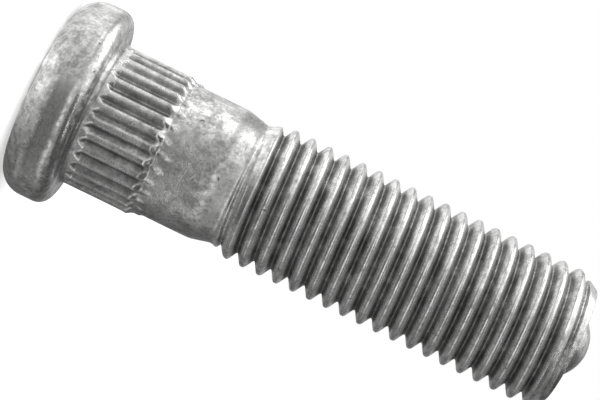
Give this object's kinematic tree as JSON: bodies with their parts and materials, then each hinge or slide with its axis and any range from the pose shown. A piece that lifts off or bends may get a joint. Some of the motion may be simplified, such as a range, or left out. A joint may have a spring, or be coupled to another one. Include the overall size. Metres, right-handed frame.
{
  "type": "wheel bolt",
  "caption": "Press-in wheel bolt with a round, rounded head, a serrated neck, a plain shank and a right-hand metric thread with a chamfered end.",
  "frame": {"origin": "centre of the flat top of the head, on which the bolt stands", "axes": "+Z along the bolt's axis from the head to the thread end; X and Y are the two cross directions"},
  "size_m": [0.0172, 0.0172, 0.0489],
  "materials": {
    "zinc_steel": "satin grey zinc coat on forged steel"
  },
  "bodies": {
    "root": {"wheel_bolt": "zinc_steel"}
  },
  "joints": []
}
